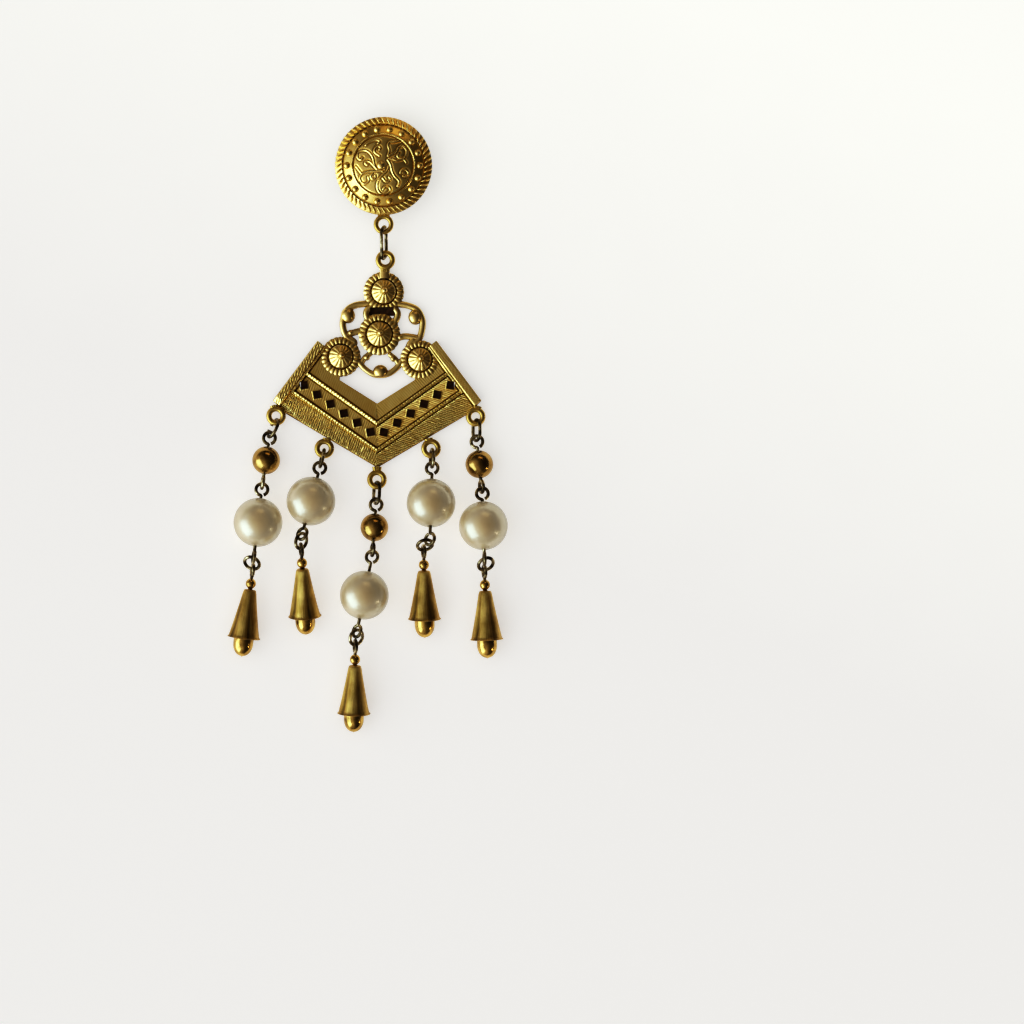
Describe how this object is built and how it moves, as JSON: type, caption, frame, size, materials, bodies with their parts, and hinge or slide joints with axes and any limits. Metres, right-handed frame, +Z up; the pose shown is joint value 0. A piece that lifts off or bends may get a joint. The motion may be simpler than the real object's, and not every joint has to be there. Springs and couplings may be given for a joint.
{
  "type": "chandelier earring",
  "caption": "Chandelier earring lying face up: round stud disc, oval link, pierced chevron plate with a rosette crest, and strands of gold beads, pearls and fluted cones.",
  "frame": {"origin": "on the surface that the earring lies on, under the middle of its bounding box", "axes": "+X to the right as the face is seen, +Y from the cones towards the stud disc, +Z up out of the face"},
  "size_m": [0.0456, 0.1006, 0.008],
  "materials": {
    "antique gold casting": "antiqued plating, bright on the high spots",
    "polished gold bead": "mirror polish",
    "polished gold tip": "polished",
    "satin gold cone": "satin",
    "oxidised wire": "darkened, semi-polished",
    "pearl coating": "pearlescent gloss"
  },
  "bodies": {
    "root": {"stud_disc": "antique gold casting", "ear_clip": "antique gold casting", "oval_link": "oxidised wire", "chevron_plate": "antique gold casting", "outer_left_upper_ring": "oxidised wire", "outer_left_bead_pin": "oxidised wire", "outer_left_bead": "polished gold bead", "outer_left_pearl_pin": "oxidised wire", "outer_left_pearl": "pearl coating", "outer_left_lower_ring": "oxidised wire", "outer_left_tip_pin": "polished gold tip", "outer_left_cone": "satin gold cone", "inner_left_upper_ring": "oxidised wire", "inner_left_pearl_pin": "oxidised wire", "inner_left_pearl": "pearl coating", "inner_left_lower_ring": "oxidised wire", "inner_left_tip_pin": "polished gold tip", "inner_left_cone": "satin gold cone", "centre_upper_ring": "oxidised wire", "centre_bead_pin": "oxidised wire", "centre_bead": "polished gold bead", "centre_pearl_pin": "oxidised wire", "centre_pearl": "pearl coating", "centre_lower_ring": "oxidised wire", "centre_tip_pin": "polished gold tip", "centre_cone": "satin gold cone", "inner_right_upper_ring": "oxidised wire", "inner_right_pearl_pin": "oxidised wire", "inner_right_pearl": "pearl coating", "inner_right_lower_ring": "oxidised wire", "inner_right_tip_pin": "polished gold tip", "inner_right_cone": "satin gold cone", "outer_right_upper_ring": "oxidised wire", "outer_right_bead_pin": "oxidised wire", "outer_right_bead": "polished gold bead", "outer_right_pearl_pin": "oxidised wire", "outer_right_pearl": "pearl coating", "outer_right_lower_ring": "oxidised wire", "outer_right_tip_pin": "polished gold tip", "outer_right_cone": "satin gold cone"}
  },
  "joints": []
}
